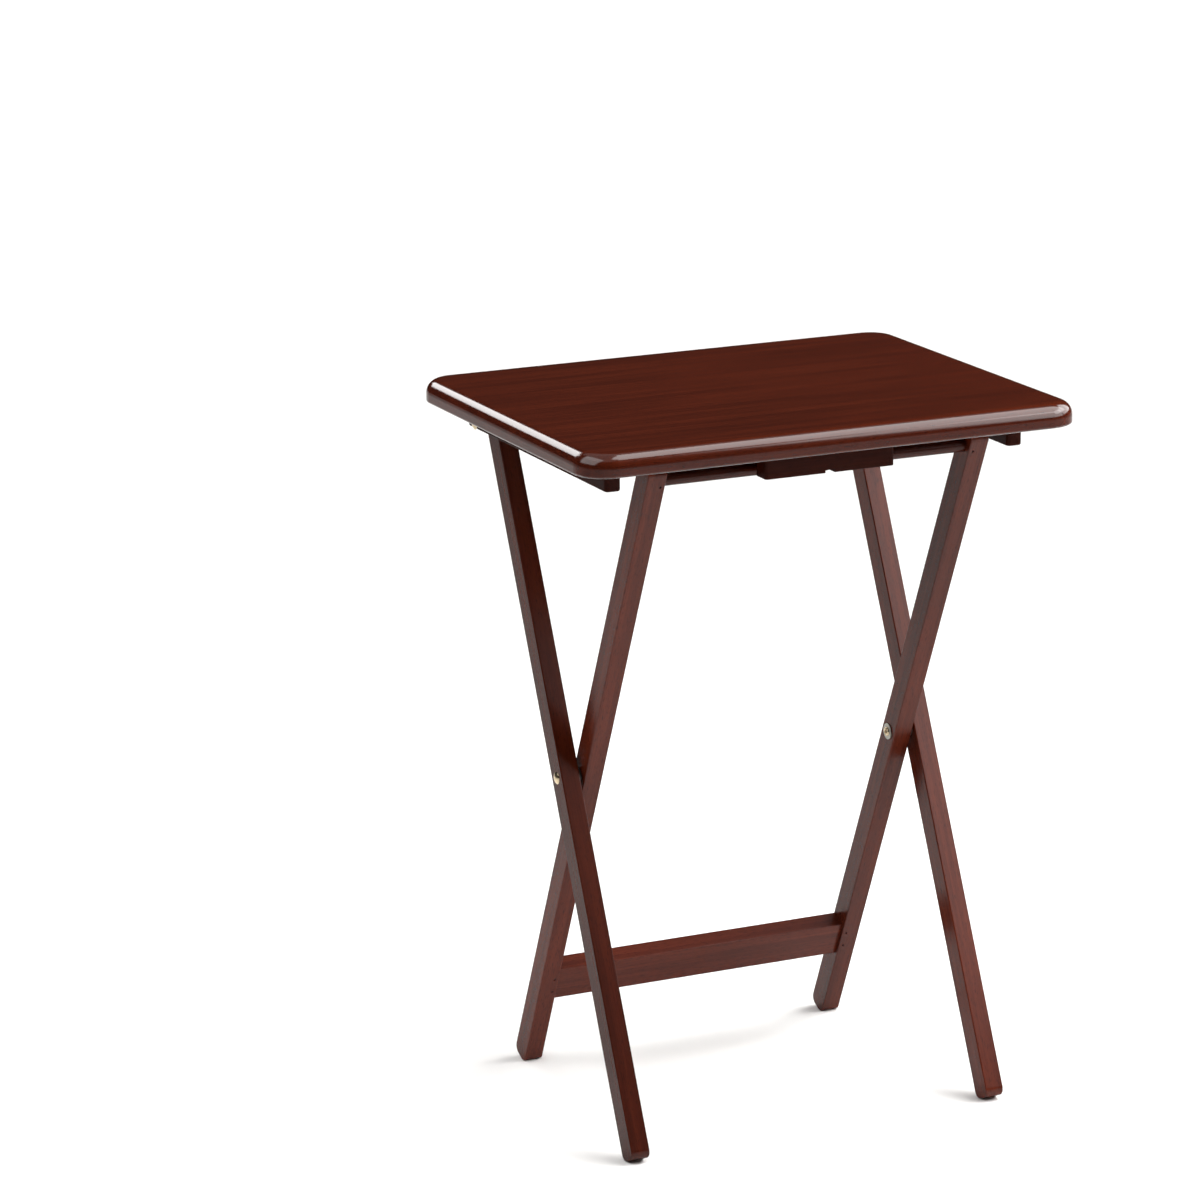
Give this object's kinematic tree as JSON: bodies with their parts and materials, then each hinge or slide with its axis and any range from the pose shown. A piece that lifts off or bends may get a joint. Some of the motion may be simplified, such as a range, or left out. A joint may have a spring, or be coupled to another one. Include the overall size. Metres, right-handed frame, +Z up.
{
  "type": "folding tray table",
  "caption": "Folding tray table: a rounded rectangular wooden top on scissor legs with a stretcher, hinged at the rear so that it folds flat.",
  "frame": {"origin": "on the floor below the middle of the top", "axes": "+Z up, +X along the long side of the top, -Y towards the front edge, which lifts when the table is folded"},
  "size_m": [0.483, 0.381, 0.66],
  "materials": {
    "lacquered_top": "red-brown walnut stain under semi-gloss lacquer",
    "lacquered_wood": "red-brown walnut stain under satin lacquer",
    "brass_plate": "polished brass plate",
    "zinc_steel": "zinc plated",
    "spring_steel": "bright nickel plated strip",
    "nylon": "moulded dark nylon"
  },
  "bodies": {
    "outer_frame": {"outer_leg_left": "lacquered_wood", "outer_leg_right": "lacquered_wood", "pivot_rivet_left": "brass_plate", "pivot_rivet_right": "brass_plate", "pivot_spacers": "nylon", "hinge_rivet_left": "brass_plate", "hinge_rivet_right": "brass_plate", "hinge_washers": "zinc_steel"},
    "inner_frame": {"inner_leg_left": "lacquered_wood", "inner_leg_right": "lacquered_wood", "cross_dowel": "lacquered_wood", "stretcher": "lacquered_wood", "dowel_brads": "zinc_steel", "stretcher_brads": "zinc_steel", "pivot_washers": "zinc_steel"},
    "top": {"tabletop": "lacquered_top", "batten_left": "lacquered_wood", "batten_right": "lacquered_wood", "batten_screws": "zinc_steel", "latch_block": "lacquered_wood", "block_screws": "zinc_steel", "catch_spring": "spring_steel", "catch_screw": "zinc_steel"}
  },
  "joints": [
    {"name": "leg_fold", "type": "hinge", "parent": "outer_frame", "child": "inner_frame", "pos_m": [0, 0.0026, 0.31949], "axis": [-1, 0, 0], "range_deg": [0, 49.5]},
    {"name": "top_rise", "type": "hinge", "parent": "outer_frame", "child": "top", "pos_m": [0, 0.14159, 0.62099], "axis": [-1, 0, 0], "range_deg": [0, 24.75]}
  ],
  "couplings": [
    {"joint": "top_rise", "follows": "leg_fold", "ratio": 0.5}
  ]
}
